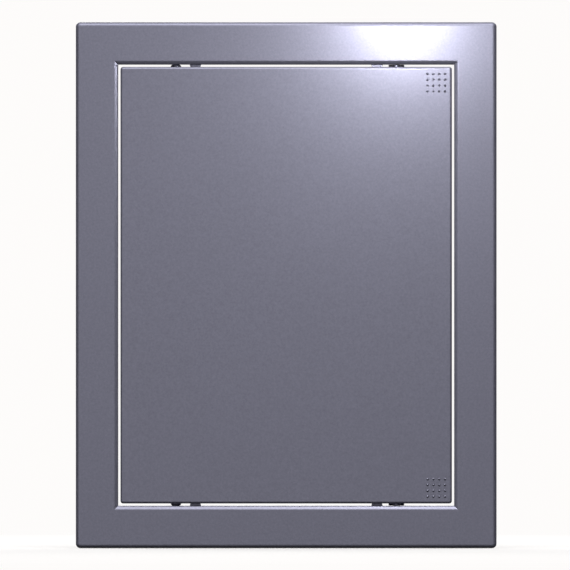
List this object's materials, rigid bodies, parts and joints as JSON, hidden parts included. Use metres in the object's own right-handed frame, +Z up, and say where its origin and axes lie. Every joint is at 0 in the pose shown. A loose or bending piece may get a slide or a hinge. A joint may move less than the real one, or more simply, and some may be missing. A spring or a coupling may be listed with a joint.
{
  "type": "access panel",
  "caption": "Framed wall access panel: flat flange, flush door on upright pivot pins at the left, spring latches at the right and raised press dots.",
  "frame": {"origin": "middle of the opening, on the plane of the flange's back, which lies on the wall", "axes": "+X to the right as seen from the room, +Y into the wall, +Z up"},
  "size_m": [0.2, 0.0205, 0.25],
  "materials": {
    "frame_plastic": "satin metallic grey moulded plastic",
    "door_plastic": "satin metallic grey moulded plastic"
  },
  "bodies": {
    "frame": {"wall_frame": "frame_plastic", "stop_tab_upper_left": "frame_plastic", "stop_tab_upper_right": "frame_plastic", "stop_tab_lower_left": "frame_plastic", "stop_tab_lower_right": "frame_plastic", "grip_ribs_top": "frame_plastic", "grip_ribs_bottom": "frame_plastic", "grip_ribs_left": "frame_plastic", "grip_ribs_right": "frame_plastic"},
    "door": {"door_panel": "door_plastic", "edge_rib_top": "door_plastic", "edge_rib_bottom": "door_plastic", "edge_rib_left": "door_plastic", "edge_rib_right": "door_plastic", "cross_rib_upper": "door_plastic", "cross_rib_lower": "door_plastic", "centre_ribs": "door_plastic", "hinge_pin_upper": "door_plastic", "hinge_pin_lower": "door_plastic", "latch_upper": "door_plastic", "latch_lower": "door_plastic", "press_dots_upper": "door_plastic", "press_dots_lower": "door_plastic"}
  },
  "joints": [
    {"name": "door_hinge", "type": "hinge", "parent": "frame", "child": "door", "pos_m": [-0.0524, 0.0024, 0], "axis": [0, 0, -1], "range_deg": [0, 90]}
  ]
}
